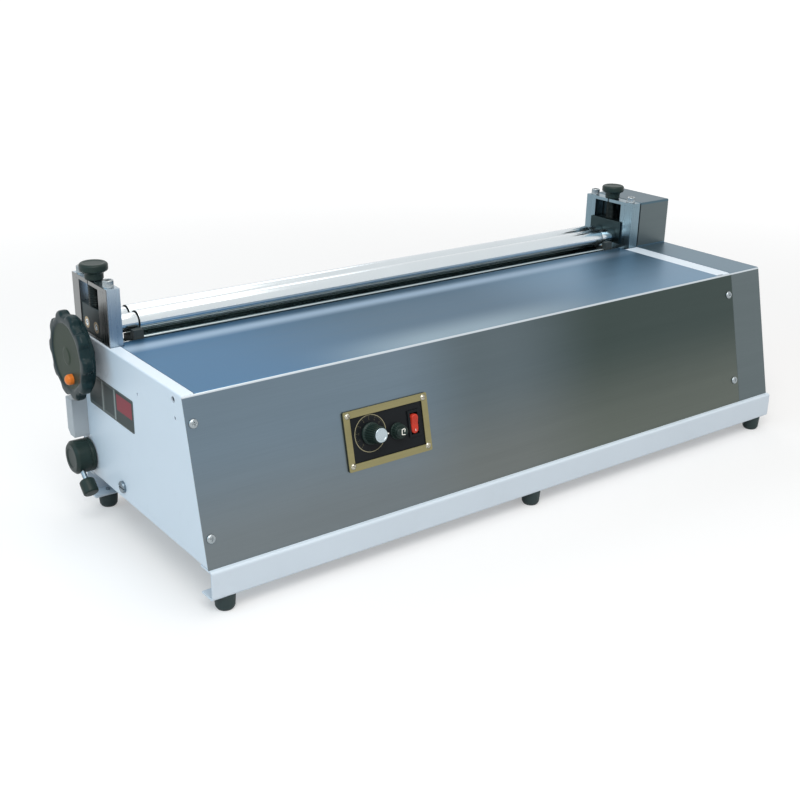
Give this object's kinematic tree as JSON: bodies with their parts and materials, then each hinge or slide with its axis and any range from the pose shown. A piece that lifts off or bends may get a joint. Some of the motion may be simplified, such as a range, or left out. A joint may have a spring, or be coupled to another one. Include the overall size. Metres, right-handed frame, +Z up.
{
  "type": "bench roller gluing machine",
  "caption": "Bench-top roller gluing machine with a slanted steel front, chromed press rollers, a lobed hand wheel, height knobs and a small control panel.",
  "frame": {"origin": "under the middle of the overall box, on the bench", "axes": "+X along the rollers to the operator's right, +Y to the back, +Z up"},
  "size_m": [0.9296, 0.3174, 0.31],
  "materials": {
    "white_paint": "gloss powder coat",
    "stainless": "brushed",
    "rubber": "matt",
    "zinc_steel": "bright zinc",
    "machined_steel": "ground",
    "black_oxide": "blackened",
    "grey_paint": "satin",
    "bronze": "turned",
    "nylon": "moulded nylon",
    "galvanised": "galvanised",
    "motor_paint": "satin black",
    "black_plastic": "moulded",
    "panel_black": "printed face",
    "brass_plate": "satin",
    "board": "circuit board",
    "hard_chrome": "polished",
    "gear_steel": "hobbed",
    "orange_plastic": "moulded",
    "turned_aluminium": "turned",
    "red_plastic": "moulded",
    "gear_nylon": "moulded nylon"
  },
  "bodies": {
    "frame": {"front_rail": "white_paint", "rear_rail": "white_paint", "base_plate": "white_paint", "rubber_feet": "rubber", "foot_screws": "zinc_steel", "left_side_plate": "white_paint", "right_side_plate": "white_paint", "front_cover": "stainless", "rear_cover": "white_paint", "cover_screws": "zinc_steel", "end_cover": "stainless", "gear_cover": "stainless", "gear_studs": "zinc_steel", "left_post": "machined_steel", "right_post": "machined_steel", "cap_plates": "machined_steel", "cap_screws": "zinc_steel", "frame_screws": "black_oxide", "tie_bar": "zinc_steel", "tie_bar_screws": "zinc_steel", "side_box": "grey_paint", "shaft_bushes": "bronze", "doctor_blade": "stainless", "end_dams": "nylon", "dam_studs": "zinc_steel", "tray_guides": "galvanised", "drive_motor": "motor_paint", "power_inlet": "black_plastic", "panel_face": "panel_black", "panel_bezel": "brass_plate", "panel_screws": "zinc_steel", "panel_controls": "black_plastic", "rocker_housing": "black_plastic", "control_board": "board"},
    "press_carriage": {"slide_blocks": "black_oxide", "slide_bushes": "bronze"},
    "front_press": {"front_press_roller": "hard_chrome", "front_press_gear": "gear_steel"},
    "rear_press": {"rear_press_roller": "hard_chrome", "rear_press_gear": "gear_steel"},
    "left_adjuster": {"left_knob": "black_plastic", "left_spindle": "black_oxide"},
    "right_adjuster": {"right_knob": "black_plastic", "right_spindle": "black_oxide"},
    "glue_drive": {"glue_roller": "hard_chrome", "glue_gear": "gear_steel", "handwheel": "black_plastic", "wheel_button": "orange_plastic"},
    "idler": {"idler_gear": "gear_nylon"},
    "pinion": {"motor_pinion": "gear_steel"},
    "tray": {"glue_tray": "stainless", "lift_rods": "zinc_steel"},
    "lever": {"lift_shaft": "machined_steel", "lever_drum": "black_plastic", "lever_rod": "zinc_steel", "lever_knob": "black_plastic"},
    "speed_control": {"speed_knob": "black_plastic", "speed_knob_cap": "turned_aluminium"},
    "selector": {"selector_knob": "black_plastic"},
    "power_rocker": {"rocker_button": "red_plastic"}
  },
  "joints": [
    {"name": "carriage_lift", "type": "slide", "parent": "frame", "child": "press_carriage", "axis": [0, 0, 1], "range_m": [0, 0.003]},
    {"name": "front_press_spin", "type": "hinge", "parent": "press_carriage", "child": "front_press", "pos_m": [0, 0.09525, 0.23954], "axis": [1, 0, 0], "continuous": true},
    {"name": "rear_press_spin", "type": "hinge", "parent": "press_carriage", "child": "rear_press", "pos_m": [0, 0.12025, 0.23954], "axis": [1, 0, 0], "continuous": true},
    {"name": "left_adjuster_turn", "type": "hinge", "parent": "press_carriage", "child": "left_adjuster", "pos_m": [-0.4178, 0.10775, 0.29], "axis": [0, 0, 1], "range_deg": [0, 540]},
    {"name": "right_adjuster_turn", "type": "hinge", "parent": "press_carriage", "child": "right_adjuster", "pos_m": [0.3922, 0.10775, 0.29], "axis": [0, 0, 1], "range_deg": [0, 540]},
    {"name": "glue_spin", "type": "hinge", "parent": "frame", "child": "glue_drive", "pos_m": [0, 0.10775, 0.209], "axis": [1, 0, 0], "continuous": true},
    {"name": "idler_spin", "type": "hinge", "parent": "frame", "child": "idler", "pos_m": [0.4127, 0.06751, 0.17882], "axis": [1, 0, 0], "continuous": true},
    {"name": "pinion_spin", "type": "hinge", "parent": "frame", "child": "pinion", "pos_m": [0.4127, 0.02348, 0.16451], "axis": [1, 0, 0], "continuous": true},
    {"name": "tray_lift", "type": "slide", "parent": "frame", "child": "tray", "axis": [0, 0, 1], "range_m": [0, 0.012]},
    {"name": "lever_turn", "type": "hinge", "parent": "frame", "child": "lever", "pos_m": [0, 0.13225, 0.0756], "axis": [-1, 0, 0], "range_deg": [0, 90]},
    {"name": "speed_turn", "type": "hinge", "parent": "frame", "child": "speed_control", "pos_m": [-0.2153, -0.13152, 0.14314], "axis": [0, -0.974, 0.2265], "range_deg": [-60, 240]},
    {"name": "selector_turn", "type": "hinge", "parent": "frame", "child": "selector", "pos_m": [-0.1803, -0.13268, 0.13817], "axis": [0, -0.974, 0.2265], "range_deg": [0, 90]},
    {"name": "rocker_press", "type": "hinge", "parent": "frame", "child": "power_rocker", "pos_m": [-0.1565, -0.13091, 0.14136], "axis": [-1, 0, 0], "range_deg": [0, 14]}
  ],
  "couplings": [
    {"joint": "left_adjuster_turn", "follows": "carriage_lift", "rad_per_m": 3141.6},
    {"joint": "right_adjuster_turn", "follows": "carriage_lift", "rad_per_m": 3141.6},
    {"joint": "front_press_spin", "follows": "glue_spin", "ratio": -1.6667},
    {"joint": "rear_press_spin", "follows": "glue_spin", "ratio": -1.6667},
    {"joint": "idler_spin", "follows": "glue_spin", "ratio": -0.66667},
    {"joint": "pinion_spin", "follows": "glue_spin", "ratio": 1.25},
    {"joint": "lever_turn", "follows": "tray_lift", "rad_per_m": 130.9}
  ]
}
